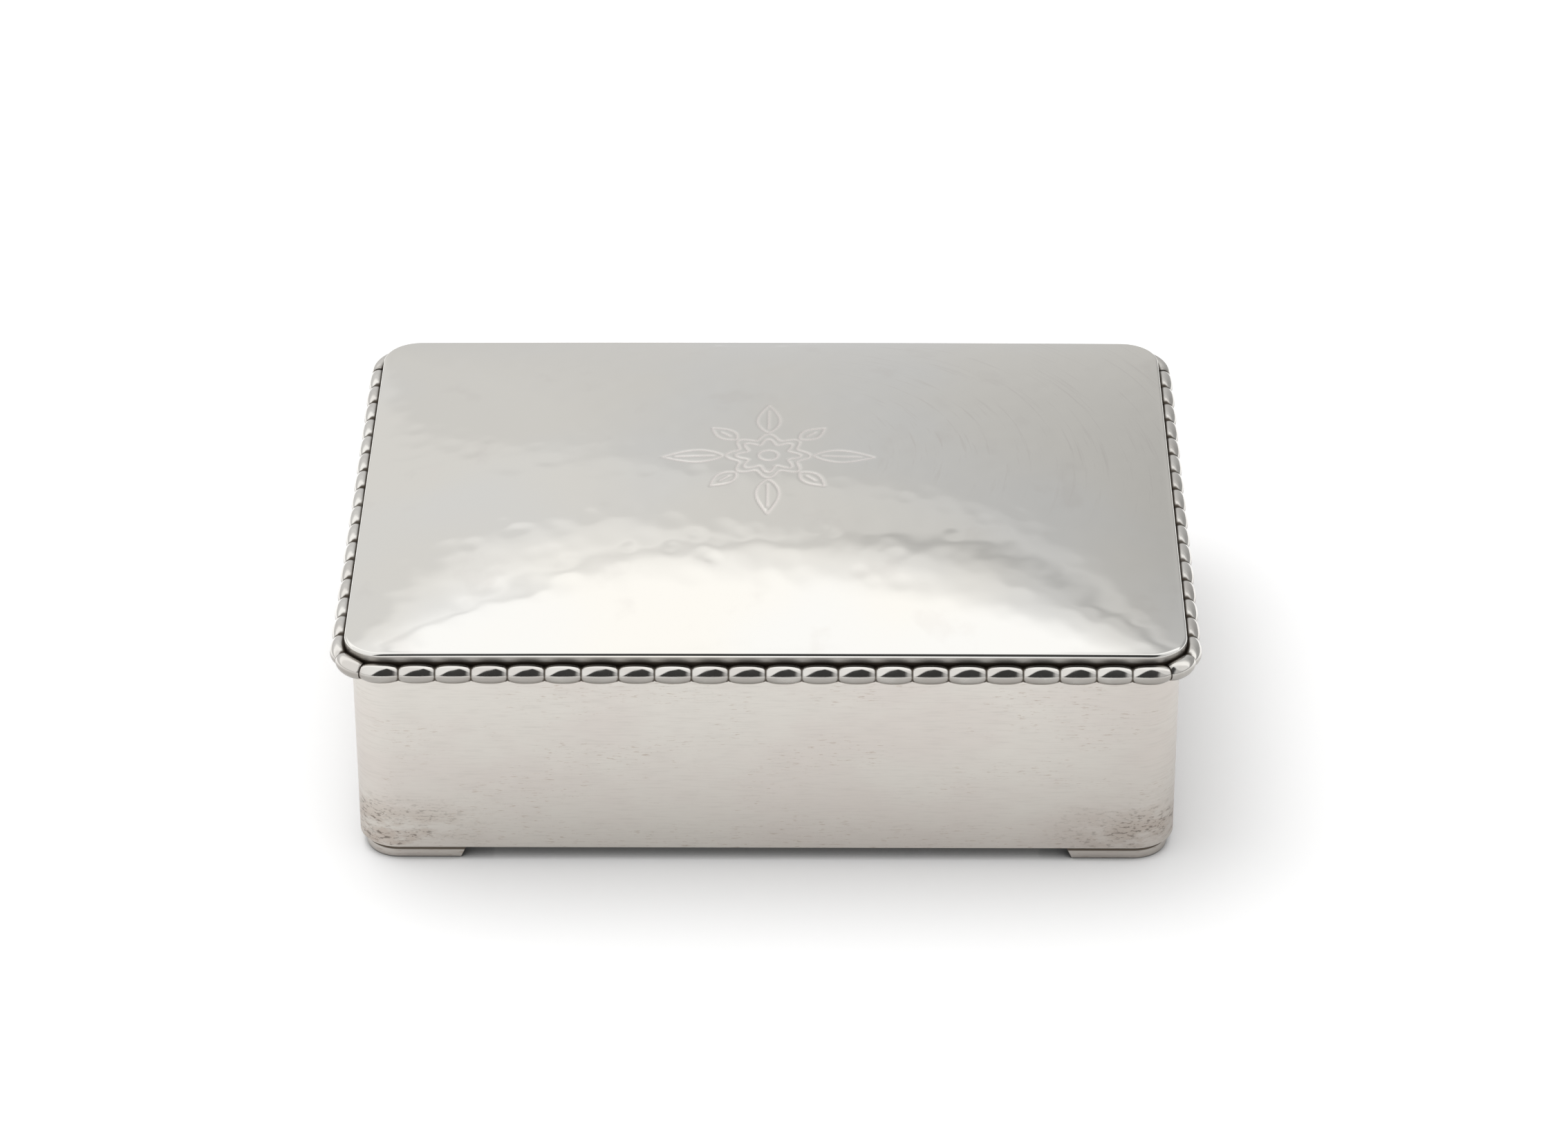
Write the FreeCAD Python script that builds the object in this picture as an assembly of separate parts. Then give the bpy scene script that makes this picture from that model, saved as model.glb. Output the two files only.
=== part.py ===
import FreeCAD
import Part
import math
import os

# A rectangular silver box for papers and keepsakes: satin walls on four corner feet, under a hinged,
# domed lid with a border of barrel-shaped beads. Millimetres, +Z up, +Y towards the hinge.
# The origin is on the table, under the middle of the box.

# Case
wall_length = 159.0
wall_depth = 119.8
wall_height = 39.4
wall_corner_radius = 8.0
wall_sheet = 1.0
base_sheet = 1.0

# Lip that stands inside the front and side walls
bezel_sheet = 0.8
bezel_rise = 2.4
bezel_seat_depth = 6.0
bezel_rear_gap = 9.0

# Feet
foot_height = 3.1
foot_reach = 21.3
foot_width = 3.2
foot_inset = 1.2
foot_end_slant = 1.4
foot_groove_height = 0.35
foot_groove_depth = 0.5

# Lid
lid_overhang = 1.1
lid_corner_radius = 7.6
lid_sheet = 0.9
lid_side_height = 5.65
lid_crown = 9.35
lid_edge_radius = 0.4
dome_fullness = 2.3
dome_grid_count = 24
seat_ring_thickness = 1.0

# Bead border
front_bead_count = 22
side_bead_count = 16
bead_radius = 1.95
bead_standoff = 1.0
bead_neck_share = 0.7
bead_fullness = 2.6
bead_point_count = 12
corner_bead_length = 5.8

# Hinge
hinge_length = 105.0
knuckle_count = 7
knuckle_radius = 1.8
pin_radius = 0.9
leaf_sheet = 0.7
body_leaf_height = 5.0
lid_web_width = 2.0
stop_heel_length = 1.1
stop_angle = 101.0

# Clearances
lid_seam = 0.15
lip_clearance = 0.3
solder_seam = 0.03
bead_lift = 0.05
pin_clearance = 0.05
knuckle_end_gap = 0.15
knuckle_wall_gap = 0.3
knuckle_leaf_gap = 0.2
leaf_wall_gap = 0.2
heel_wall_gap = 0.1
heel_sweep_gap = 0.3
cut_overrun = 2.0

# Heights worked out from the sizes above
rim_height = foot_height + wall_height
lid_bottom = rim_height + lid_seam
lid_edge_height = lid_bottom + lid_side_height
lid_top = lid_edge_height + lid_crown
bead_height = lid_bottom + bead_lift + bead_radius

# Half sizes of the lid's side and of the line along the middle of the beads
lid_half_length = wall_length / 2 + lid_overhang
lid_half_depth = wall_depth / 2 + lid_overhang
border_half_length = lid_half_length + bead_standoff
border_half_depth = lid_half_depth + bead_standoff
border_corner_radius = lid_corner_radius + bead_standoff

# Round each front corner lie the bent ends of two runs, with one whole bead between them.
# Round each rear corner a longer bead takes the place of the side run's bent end.
border_quarter = border_corner_radius * math.pi / 2
bend_length = (border_quarter - corner_bead_length) / 2
front_straight = border_half_length - border_corner_radius
side_straight = border_half_depth - border_corner_radius
front_pitch = 2 * (front_straight + bend_length) / front_bead_count
side_pitch = (2 * side_straight + bend_length) / side_bead_count

# Hinge axis, which runs along X
hinge_y = wall_depth / 2 + knuckle_wall_gap + knuckle_radius
hinge_z = lid_bottom - leaf_sheet - knuckle_leaf_gap - knuckle_radius
axis_to_wall = hinge_y - wall_depth / 2
heel_reach = axis_to_wall - heel_wall_gap
heel_corner_radius = math.hypot(heel_reach, stop_heel_length)
knuckle_pitch = hinge_length / knuckle_count
knuckle_length = knuckle_pitch - knuckle_end_gap

corners = {
    "front_left": (-1, -1),
    "front_right": (1, -1),
    "rear_left": (-1, 1),
    "rear_right": (1, 1),
}

Vector = FreeCAD.Vector
x_axis = Vector(1, 0, 0)
z_axis = Vector(0, 0, 1)
origin = Vector(0, 0, 0)


def block(low, high):
    """A box between its lowest and highest corners."""
    size = high - low
    return Part.makeBox(size.x, size.y, size.z, low)


def rod(radius, start_x, length):
    """A round rod about the hinge axis."""
    return Part.makeCylinder(radius, length, Vector(start_x, hinge_y, hinge_z), x_axis)


def plan_solid(half_length, half_depth, radius, bottom, top):
    """An upright block with round corners between two heights."""
    solid = block(Vector(-half_length, -half_depth, bottom), Vector(half_length, half_depth, top))
    upright = [edge for edge in solid.Edges if edge.BoundBox.ZLength > 0]
    return solid.makeFillet(radius, upright)


def case_plan(grow, bottom, top):
    """The case's plan outline, grown outwards, between two heights."""
    sizes = (wall_length / 2 + grow, wall_depth / 2 + grow, wall_corner_radius + grow)
    return plan_solid(*sizes, bottom, top)


def lid_plan(inset, bottom, top):
    """The lid's plan outline, drawn in, between two heights."""
    sizes = (lid_half_length - inset, lid_half_depth - inset, lid_corner_radius - inset)
    return plan_solid(*sizes, bottom, top)


def case_band(outer_grow, inner_grow, bottom, top):
    """A band that follows the case's plan outline between two offsets."""
    hole = case_plan(inner_grow, bottom - cut_overrun, top + cut_overrun)
    return case_plan(outer_grow, bottom, top).cut(hole)


def body_wall():
    return case_band(0, -wall_sheet, foot_height, rim_height)


def base_plate():
    return case_plan(-wall_sheet - solder_seam, foot_height, foot_height + base_sheet)


def inner_bezel():
    """The lip, open at the back so that it clears the hinge side of the lid."""
    outer = -wall_sheet - solder_seam
    lip = case_band(outer, outer - bezel_sheet, rim_height - bezel_seat_depth, rim_height + bezel_rise)
    rear = wall_depth / 2
    low = Vector(-wall_length / 2, rear - bezel_rear_gap, rim_height - bezel_seat_depth - cut_overrun)
    high = Vector(wall_length / 2, rear, rim_height + bezel_rise + cut_overrun)
    return lip.cut(block(low, high))


def foot_end_block(side_x, side_y):
    """The corner that one foot fills, narrower at the table than at the wall."""
    wires = []
    for height, reach in ((0, foot_reach - foot_end_slant), (foot_height, foot_reach)):
        near_x = side_x * (wall_length / 2 - reach)
        near_y = side_y * (wall_depth / 2 - reach)
        far_x = side_x * (wall_length / 2 + cut_overrun)
        far_y = side_y * (wall_depth / 2 + cut_overrun)
        plan = [(near_x, near_y), (far_x, near_y), (far_x, far_y), (near_x, far_y), (near_x, near_y)]
        wires.append(Part.makePolygon([Vector(x, y, height) for x, y in plan]))
    return Part.makeLoft(wires, True, True)


def foot(side_x, side_y):
    """A bracket foot along one corner, with a groove under the wall's lower edge."""
    groove_bottom = foot_height - foot_groove_height
    inner = -foot_inset - foot_width
    pad = case_band(-foot_inset, inner, 0, groove_bottom)
    neck = case_band(-foot_inset - foot_groove_depth, inner, groove_bottom, foot_height)
    return pad.fuse(neck).removeSplitter().common(foot_end_block(side_x, side_y))


def dome_rise(x, y):
    """How far the cushion-shaped dome stands over its level rim."""
    along = 1 - (abs(x) / lid_half_length) ** dome_fullness
    across = 1 - (abs(y) / lid_half_depth) ** dome_fullness
    return lid_crown * along * across


def above_dome(edge_height):
    """All that lies over the dome when its rim is at the given height."""
    half_x = lid_half_length + cut_overrun
    half_y = lid_half_depth + cut_overrun
    steps = [2 * i / dome_grid_count - 1 for i in range(dome_grid_count + 1)]
    rows = []
    for step_x in steps:
        row = [(half_x * step_x, half_y * step_y) for step_y in steps]
        rows.append([Vector(x, y, edge_height + dome_rise(x, y)) for x, y in row])
    surface = Part.BSplineSurface()
    surface.interpolate(rows)
    return surface.toShape().extrude(z_axis * 2 * (lid_crown + lid_sheet + cut_overrun))


def domed_solid(inset, bottom, edge_height):
    """A solid with the lid's plan and a domed top."""
    return lid_plan(inset, bottom, lid_top + cut_overrun).cut(above_dome(edge_height))


def lid_dome():
    outside = domed_solid(0, lid_bottom, lid_edge_height)
    top = max(outside.Faces, key=lambda face: face.CenterOfMass.z)
    outside = outside.makeFillet(lid_edge_radius, top.Edges)
    hollow = domed_solid(lid_sheet, lid_bottom - cut_overrun, lid_edge_height - lid_sheet)
    return outside.cut(hollow)


def lid_seat_ring():
    """The flat ring that rests on the rim, outside the lip and inside the lid's side."""
    top = lid_bottom + seat_ring_thickness
    hole = case_plan(lip_clearance - wall_sheet, lid_bottom - cut_overrun, top + cut_overrun)
    return lid_plan(lid_sheet + solder_seam, lid_bottom, top).cut(hole)


def bead_swell(place):
    """Radius of a bead at a place along it, from -1 at one neck to 1 at the other."""
    return bead_radius * (1 - (1 - bead_neck_share) * abs(place) ** bead_fullness)


def bead_outline(start, pitch):
    """One bead's outline along X, from neck to neck."""
    points = []
    for i in range(bead_point_count + 1):
        share = i / bead_point_count
        points.append(Vector(start + pitch * share, 0, bead_swell(2 * share - 1)))
    curve = Part.BSplineCurve()
    curve.interpolate(points)
    return curve.toShape()


def bead_strip(straight, out, first, pitch, count, turn):
    """A straight run of beads, flat where it meets the lid's side, on the side that the turn gives."""
    start = Vector(first, 0, 0)
    end = Vector(first + pitch * count, 0, 0)
    neck = z_axis * bead_swell(1)
    edges = [Part.makeLine(start, start + neck)]
    edges += [bead_outline(start.x + i * pitch, pitch) for i in range(count)]
    edges += [Part.makeLine(end + neck, end), Part.makeLine(end, start)]
    strip = Part.Face(Part.Wire(edges)).revolve(origin, x_axis, 360)
    half = straight - solder_seam
    reach = bead_radius + cut_overrun
    strip = strip.common(block(Vector(-half, -reach, -reach), Vector(half, bead_standoff, reach)))
    strip.translate(Vector(0, -out, bead_height))
    strip.rotate(origin, z_axis, turn)
    return strip


def bent_bead(first, last, start, length):
    """The part of a bead between two distances round a corner, for a bead that begins at start."""
    sections = []
    for i in range(bead_point_count + 1):
        distance = first + (last - first) * i / bead_point_count
        place = 2 * (distance - start) / length - 1
        circle = Part.makeCircle(bead_swell(place), Vector(0, -border_corner_radius, 0), x_axis)
        circle.rotate(origin, z_axis, math.degrees(distance / border_corner_radius))
        sections.append(Part.Wire(circle))
    return Part.makeLoft(sections, True, False)


def corner_bead(side_x, side_y):
    """A bent bead round one corner with the bent ends of the runs beside it, seated on the lid's side."""
    turns = {(1, -1): 0, (1, 1): 90, (-1, 1): 180, (-1, -1): 270}
    ends = [(front_pitch, bend_length), (side_pitch, bend_length if side_y < 0 else 0)]
    (before, start), (after, last) = ends if side_x != side_y else ends[::-1]
    stop = border_quarter - last
    bead = bent_bead(start, stop, start, stop - start)
    if start > 0:
        bead = bead.fuse(bent_bead(0, start, start - before, before))
    if last > 0:
        bead = bead.fuse(bent_bead(stop, border_quarter, stop, after))
    bead = bead.removeSplitter()
    bead.rotate(origin, z_axis, turns[(side_x, side_y)])
    bead.translate(Vector(side_x * front_straight, side_y * side_straight, bead_height))
    return bead.cut(lid_plan(0, lid_bottom - cut_overrun, lid_edge_height + cut_overrun))


def hinge_block(start_x, length, low, high):
    """A bar along the hinge between two corners given as (y, z) from the hinge axis."""
    corner = Vector(start_x, hinge_y + low[0], hinge_z + low[1])
    return block(corner, Vector(start_x + length, hinge_y + high[0], hinge_z + high[1]))


def body_leaf_top():
    """Height of the body leaf's upper edge from the hinge axis, below the stop heels' sweep."""
    return -heel_corner_radius - heel_sweep_gap


def hinge_body_leaf():
    top = body_leaf_top()
    low = (-axis_to_wall, top - body_leaf_height)
    return hinge_block(-hinge_length / 2, hinge_length, low, (-axis_to_wall + leaf_sheet, top))


def hinge_lid_leaf():
    bottom = knuckle_radius + knuckle_leaf_gap
    low = (-axis_to_wall + leaf_wall_gap, bottom)
    return hinge_block(-hinge_length / 2, hinge_length, low, (lid_web_width / 2, bottom + leaf_sheet))


def knuckle_start(place):
    return -hinge_length / 2 + place * knuckle_pitch + knuckle_end_gap / 2


def bored(knuckle, start_x):
    """A knuckle with its bore for the pin."""
    bore = rod(pin_radius + pin_clearance, start_x - cut_overrun, knuckle_length + 2 * cut_overrun)
    return knuckle.cut(bore)


def body_knuckle(place):
    """A tube with a web that stands on the wall and on the leaf's upper edge."""
    start = knuckle_start(place)
    tube = rod(knuckle_radius, start, knuckle_length)
    web = hinge_block(start, knuckle_length, (-axis_to_wall, body_leaf_top()), (0, 0))
    return bored(tube.fuse(web).removeSplitter(), start)


def lid_knuckle(place):
    """A tube hung from the lid's leaf, with a heel that stops the lid against the wall."""
    start = knuckle_start(place)
    tube = rod(knuckle_radius, start, knuckle_length)
    leaf_bottom = knuckle_radius + knuckle_leaf_gap
    web = hinge_block(start, knuckle_length, (-lid_web_width / 2, 0), (lid_web_width / 2, leaf_bottom))
    heel = hinge_block(start, knuckle_length, (0, -heel_reach), (stop_heel_length, 0))
    heel.rotate(Vector(start, hinge_y, hinge_z), x_axis, stop_angle - 90)
    return bored(tube.fuse([web, heel]).removeSplitter(), start)


def hinge_pin():
    return rod(pin_radius, -hinge_length / 2, hinge_length)


def build_nodes():
    """Every piece of the box by its node's name."""
    front_beads = (front_pitch, front_bead_count)
    side_beads = (side_pitch, side_bead_count)
    front_run = (front_straight, border_half_depth, -front_straight - bend_length, *front_beads)
    right_run = (side_straight, border_half_length, -side_straight - bend_length, *side_beads)
    left_run = (side_straight, border_half_length, -side_straight, *side_beads)
    nodes = {
        "body_wall": body_wall(),
        "base_plate": base_plate(),
        "inner_bezel": inner_bezel(),
        "lid_dome": lid_dome(),
        "lid_seat_ring": lid_seat_ring(),
        "bead_strip_front": bead_strip(*front_run, 0),
        "bead_strip_right": bead_strip(*right_run, 90),
        "bead_strip_rear": bead_strip(*front_run, 180),
        "bead_strip_left": bead_strip(*left_run, 270),
        "hinge_body_leaf": hinge_body_leaf(),
        "hinge_lid_leaf": hinge_lid_leaf(),
        "hinge_pin": hinge_pin(),
    }
    for name, (side_x, side_y) in corners.items():
        nodes["foot_" + name] = foot(side_x, side_y)
        nodes["corner_bead_" + name] = corner_bead(side_x, side_y)
    for place in range(knuckle_count):
        number = place // 2 + 1
        if place % 2 == 0:
            nodes[f"hinge_body_knuckle_{number}"] = body_knuckle(place)
        else:
            nodes[f"hinge_lid_knuckle_{number}"] = lid_knuckle(place)
    return nodes


os.makedirs("parts", exist_ok=True)
for node, shape in build_nodes().items():
    shape.exportStep(f"parts/{node}.step")
    box = shape.BoundBox
    print(f"{node}: solids {len(shape.Solids)}, volume {shape.Volume:.1f}, valid {shape.isValid()}, "
          f"z {box.ZMin:.2f} to {box.ZMax:.2f}")
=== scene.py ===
import math
import random

import bpy
import numpy as np
from mathutils import Matrix, Vector
from mathutils.kdtree import KDTree


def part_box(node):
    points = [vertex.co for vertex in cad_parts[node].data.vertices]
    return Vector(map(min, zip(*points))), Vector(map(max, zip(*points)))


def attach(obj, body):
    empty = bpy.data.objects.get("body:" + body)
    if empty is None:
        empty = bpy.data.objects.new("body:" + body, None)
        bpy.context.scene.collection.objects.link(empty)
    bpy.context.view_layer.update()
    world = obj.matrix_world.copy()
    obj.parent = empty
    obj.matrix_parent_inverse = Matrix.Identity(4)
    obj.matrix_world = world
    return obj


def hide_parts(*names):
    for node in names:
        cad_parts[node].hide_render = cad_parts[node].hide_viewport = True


# A silver keepsake box on a white table. Metres, in the frame of the solids.
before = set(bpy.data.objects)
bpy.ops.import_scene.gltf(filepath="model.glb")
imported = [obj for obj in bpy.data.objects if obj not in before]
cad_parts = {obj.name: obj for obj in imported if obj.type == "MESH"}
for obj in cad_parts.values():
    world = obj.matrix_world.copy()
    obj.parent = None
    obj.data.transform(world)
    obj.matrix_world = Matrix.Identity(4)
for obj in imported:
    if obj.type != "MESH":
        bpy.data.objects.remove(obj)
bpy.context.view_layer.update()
MM = 0.001

# Sizes that the boxes of the solids don't give
wall_corner_radius = 8.0 * MM
wall_sheet = 1.0 * MM
lid_side_height = 5.65 * MM
lid_sheet = 0.9 * MM
lid_edge_radius = 0.6 * MM
lid_corner_radius = 7.6 * MM
dome_fullness = 2.3
front_bead_count = 22
side_bead_count = 16
corner_bead_length = 5.8 * MM
foot_width = 3.2 * MM
foot_end_slant = 1.4 * MM
foot_groove_height = 0.35 * MM
foot_groove_depth = 0.5 * MM

# Sizes and places read from the solids
wall_low, wall_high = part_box("body_wall")
lid_low, lid_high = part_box("lid_dome")
strip_low, strip_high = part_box("bead_strip_front")
side_strip_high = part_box("bead_strip_right")[1]
foot_low, foot_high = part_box("foot_front_right")
lid_edge_height = lid_low.z + lid_side_height
lid_crown = lid_high.z - lid_edge_height
bead_radius = (strip_high.z - strip_low.z) / 2
bead_height = (strip_high.z + strip_low.z) / 2
border_half_x = side_strip_high.x - bead_radius
border_half_y = -strip_low.y - bead_radius
bead_standoff = strip_high.y + border_half_y
border_corner_radius = lid_corner_radius + bead_standoff

# Camera, fitted to the photograph
camera_place = Vector((11.37, -918.03, 593.88)) * MM
camera_elevation = math.radians(31.501)
camera_heading = math.radians(0.5165)
camera_roll = math.radians(0.1619)
camera_lens = 122.783
camera_sensor = 36.0

# Mesh helpers
crease_angle = math.radians(38)


def new_mesh(name, points, faces, material, **values):
    """A smooth-shaded mesh object, with named values at its points for the material."""
    mesh = bpy.data.meshes.new(name)
    mesh.from_pydata(np.asarray(points, float).tolist(), [], faces)
    mesh.polygons.foreach_set("use_smooth", [True] * len(mesh.polygons))
    for label, numbers in values.items():
        attribute = mesh.attributes.new(label, "FLOAT", "POINT")
        attribute.data.foreach_set("value", np.asarray(numbers, np.float32))
    mesh.validate()
    mesh.set_sharp_from_angle(angle=crease_angle)
    mesh.materials.append(material)
    piece = bpy.data.objects.new(name, mesh)
    bpy.context.scene.collection.objects.link(piece)
    return piece


def smooth_step(value, low, high):
    """Rises smoothly from 0 at low to 1 at high."""
    share = np.clip((np.asarray(value, float) - low) / (high - low), 0, 1)
    return share * share * (3 - 2 * share)


def ring_faces(first, second):
    """Quads between two closed rings of point numbers."""
    count = len(first)
    return [(first[i], first[(i + 1) % count], second[(i + 1) % count], second[i]) for i in range(count)]


def grid_faces(columns, rows, start, upward):
    """Quads of a grid of points whose numbers begin at start."""
    faces = []
    for j in range(rows - 1):
        for i in range(columns - 1):
            a = start + j * columns + i
            face = (a, a + 1, a + columns + 1, a + columns)
            faces.append(face if upward else face[::-1])
    return faces


def border_numbers(columns, rows):
    """Point numbers round the border of a grid, anticlockwise."""
    last = columns - 1
    bottom = list(range(last))
    right = [j * columns + last for j in range(rows - 1)]
    top = [(rows - 1) * columns + last - i for i in range(last)]
    left = [(rows - 1 - j) * columns for j in range(rows - 1)]
    return bottom + right + top + left


# The rosette engraved on the lid: its lines are in shares of its radius
rosette_place_y = -1.8 * MM
rosette_radius = 21.5 * MM
rosette_margin = 0.8 * MM
groove_half_width = 0.42 * MM
groove_depth = 0.10 * MM
flower_ring_shares = ((0.09, 0.0), (0.25, 0.05), (0.34, 0.05))
petal_count = 8
leaf_count = 8
leaf_start_share = 0.42
leaf_end_and_width_shares = ((0.98, 0.105), (0.74, 0.085))
leaf_taper = 0.8
rib_start_share = 0.08
rib_end_share = 0.12
ring_point_count = 500
leaf_point_count = 160
rib_point_count = 120


def leaf_lines(turn, end, width):
    """Outline and midrib of one pointed leaf."""
    steps = np.linspace(0, 1, leaf_point_count)
    out = leaf_start_share + (end - leaf_start_share) * steps
    half = width * np.sin(math.pi * steps ** leaf_taper)
    rib = np.linspace(leaf_start_share + rib_start_share, end - rib_end_share, rib_point_count)
    lines = [(out, half), (out, -half), (rib, np.zeros_like(rib))]
    cos, sin = math.cos(turn), math.sin(turn)
    return [(cos * a - sin * b, sin * a + cos * b) for a, b in lines]


def rosette_lines():
    """A generic engraved rosette: a ringed flower with long and short leaves around it."""
    turns = np.linspace(0, 2 * math.pi, ring_point_count)
    lines = []
    for radius, wave in flower_ring_shares:
        out = radius + wave * np.cos(petal_count * turns)
        lines.append((out * np.cos(turns), out * np.sin(turns)))
    for leaf in range(leaf_count):
        lines += leaf_lines(2 * math.pi * leaf / leaf_count, *leaf_end_and_width_shares[leaf % 2])
    return lines


def engraved_share(x, y):
    """How deep in the rosette's grooves points of the lid are, from 0 to 1."""
    points = np.concatenate([np.stack(line, 1) for line in rosette_lines()]) * rosette_radius
    tree = KDTree(len(points))
    for number, (px, py) in enumerate(points):
        tree.insert((px, py + rosette_place_y, 0), number)
    tree.balance()
    shares = np.zeros(x.shape)
    reach = rosette_radius + rosette_margin
    near = (np.abs(x) < reach) & (np.abs(y - rosette_place_y) < reach)
    for index in zip(*np.nonzero(near)):
        away = min(tree.find((x[index], y[index], 0))[2] / groove_half_width, 1)
        shares[index] = (1 - away * away) ** 2
    return shares


# The lid's sheet: a hammered dome with a rolled edge and an upright side
end_line_count = 84
side_line_count = 60
fine_line_count = 144
lining_step = 4
edge_point_count = 8
side_level_count = 24
edge_swell = 0.6 * MM
edge_swell_width = 14 * MM
hammer_seed = 7
hammer_spacing = 4.6 * MM
hammer_radius = 3.9 * MM
hammer_radius_shares = (0.6, 1.4)
hammer_depth = 0.035 * MM
hammer_depth_shares = (0.3, 1.0)
hammer_margin = 2.5 * MM
# Tarnish and painted shade on the lid's side: darkest in the crevice over the beads, dark grey up the side
crevice_fade = 0.22 * MM
side_tarnish_share = 0.66
side_tarnish_fade = 0.3 * MM
clean_edge_share = 0.5


def graded_lines(half, middle, fine_half, side_count):
    """Grid lines across the lid, closer together where the rosette is."""
    before = np.linspace(-half, middle - fine_half, side_count, endpoint=False)
    inside = np.linspace(middle - fine_half, middle + fine_half, fine_line_count, endpoint=False)
    after = np.linspace(middle + fine_half, half, side_count + 1)
    return np.concatenate([before, inside, after])


def round_corners(x, y, half_x, half_y, radius):
    """Draws a rectangular grid in at its corners, so that its border has round corners."""
    over_x = np.clip((np.abs(x) - half_x + radius) / radius, 0, 1)
    over_y = np.clip((np.abs(y) - half_y + radius) / radius, 0, 1)
    in_x = np.minimum(np.abs(x), half_x - radius) + radius * over_x * np.sqrt(1 - over_y ** 2 / 2)
    in_y = np.minimum(np.abs(y), half_y - radius) + radius * over_y * np.sqrt(1 - over_x ** 2 / 2)
    return np.sign(x) * in_x, np.sign(y) * in_y


def edge_ramp(x, y):
    """From 0 at the lid's edge to 1 further in, steepest at the edge."""
    from_end = np.clip((lid_high.x - np.abs(x)) / edge_swell_width, 0, 1)
    from_side = np.clip((lid_high.y - np.abs(y)) / edge_swell_width, 0, 1)
    return np.clip(1 - np.hypot((1 - from_end) ** 2, (1 - from_side) ** 2), 0, 1)


def dome_rise(x, y):
    """Height of the dome over the lid's edge, a little fuller towards the front."""
    along = 1 - np.clip(np.abs(x) / lid_high.x, 0, 1) ** dome_fullness
    across = 1 - np.clip(np.abs(y) / lid_high.y, 0, 1) ** dome_fullness
    swell = edge_swell * smooth_step(-y, -lid_high.y, lid_high.y)
    return (lid_crown - swell) * along * across + swell * edge_ramp(x, y)


def hammer_marks(x, y):
    """Shallow overlapping hollows left by a planishing hammer, fading out at the edge."""
    blows = random.Random(hammer_seed)
    marks = np.zeros_like(x)
    for row in np.arange(-lid_high.y, lid_high.y, hammer_spacing):
        for place in np.arange(-lid_high.x, lid_high.x, hammer_spacing):
            blow_x = place + blows.uniform(0, 1) * hammer_spacing
            blow_y = row + blows.uniform(0, 1) * hammer_spacing
            radius = hammer_radius * blows.uniform(*hammer_radius_shares)
            depth = hammer_depth * blows.uniform(*hammer_depth_shares)
            near = (np.abs(x - blow_x) < radius) & (np.abs(y - blow_y) < radius)
            away = ((x[near] - blow_x) ** 2 + (y[near] - blow_y) ** 2) / radius ** 2
            marks[near] -= depth * np.clip(1 - away, 0, 1) ** 2
    inside = np.minimum(lid_high.x - np.abs(x), lid_high.y - np.abs(y))
    return marks * smooth_step(inside, 0, hammer_margin)


def lid_top_grid(lines_x, lines_y):
    """Points of the dome's outside, and how deep in a groove each one is."""
    flat_x, flat_y = np.meshgrid(lines_x, lines_y)
    half_x, half_y = lines_x[-1], lines_y[-1]
    x, y = round_corners(flat_x, flat_y, half_x, half_y, lid_corner_radius - lid_edge_radius)
    engraved = engraved_share(x, y)
    z = lid_edge_height + dome_rise(x, y) + hammer_marks(x, y) - groove_depth * engraved
    return np.stack([x.ravel(), y.ravel(), z.ravel()], 1), engraved.ravel()


def lid_under_grid(lines_x, lines_y):
    """Points of the dome's inside, on a coarser grid."""
    inner_x, inner_y = lid_high.x - lid_sheet, lid_high.y - lid_sheet
    flat_x, flat_y = np.meshgrid(lines_x * inner_x / lines_x[-1], lines_y * inner_y / lines_y[-1])
    x, y = round_corners(flat_x, flat_y, inner_x, inner_y, lid_corner_radius - lid_sheet)
    z = lid_edge_height - lid_sheet + dome_rise(x, y)
    return np.stack([x.ravel(), y.ravel(), z.ravel()], 1)


def outline_feet(points, half_x, half_y, radius):
    """Centres and outward normals of points on an outline with round corners."""
    centres = np.stack([np.clip(points[:, 0], radius - half_x, half_x - radius),
                        np.clip(points[:, 1], radius - half_y, half_y - radius)], 1)
    outward = points[:, :2] - centres
    return centres, outward / np.linalg.norm(outward, axis=1, keepdims=True)


def side_levels(border_z):
    """Rings down the rolled edge and the upright side: share of the edge's radius out, and heights."""
    turns = np.linspace(math.pi / 2, 0, edge_point_count)[1:]
    levels = [(math.cos(turn), border_z - lid_edge_radius * (1 - math.sin(turn))) for turn in turns]
    rim = levels[-1][1]
    shares = np.linspace(0, 1, side_level_count + 1)[1:]
    return levels + [(1, rim + (lid_low.z - rim) * share) for share in shares]


def side_tarnish(z):
    """Tarnish and painted shade: darkest in the crevice over the beads, painted shade in dark grey up the
    side, none on top of the rolled edge.
    """
    bead_top = bead_height + bead_radius
    crevice = 1 - smooth_step(z, bead_top, bead_top + crevice_fade)
    edge = lid_edge_height - clean_edge_share * lid_edge_radius
    side = 1 - smooth_step(z, edge - side_tarnish_fade, edge)
    return np.maximum(crevice, side_tarnish_share * side)


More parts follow.
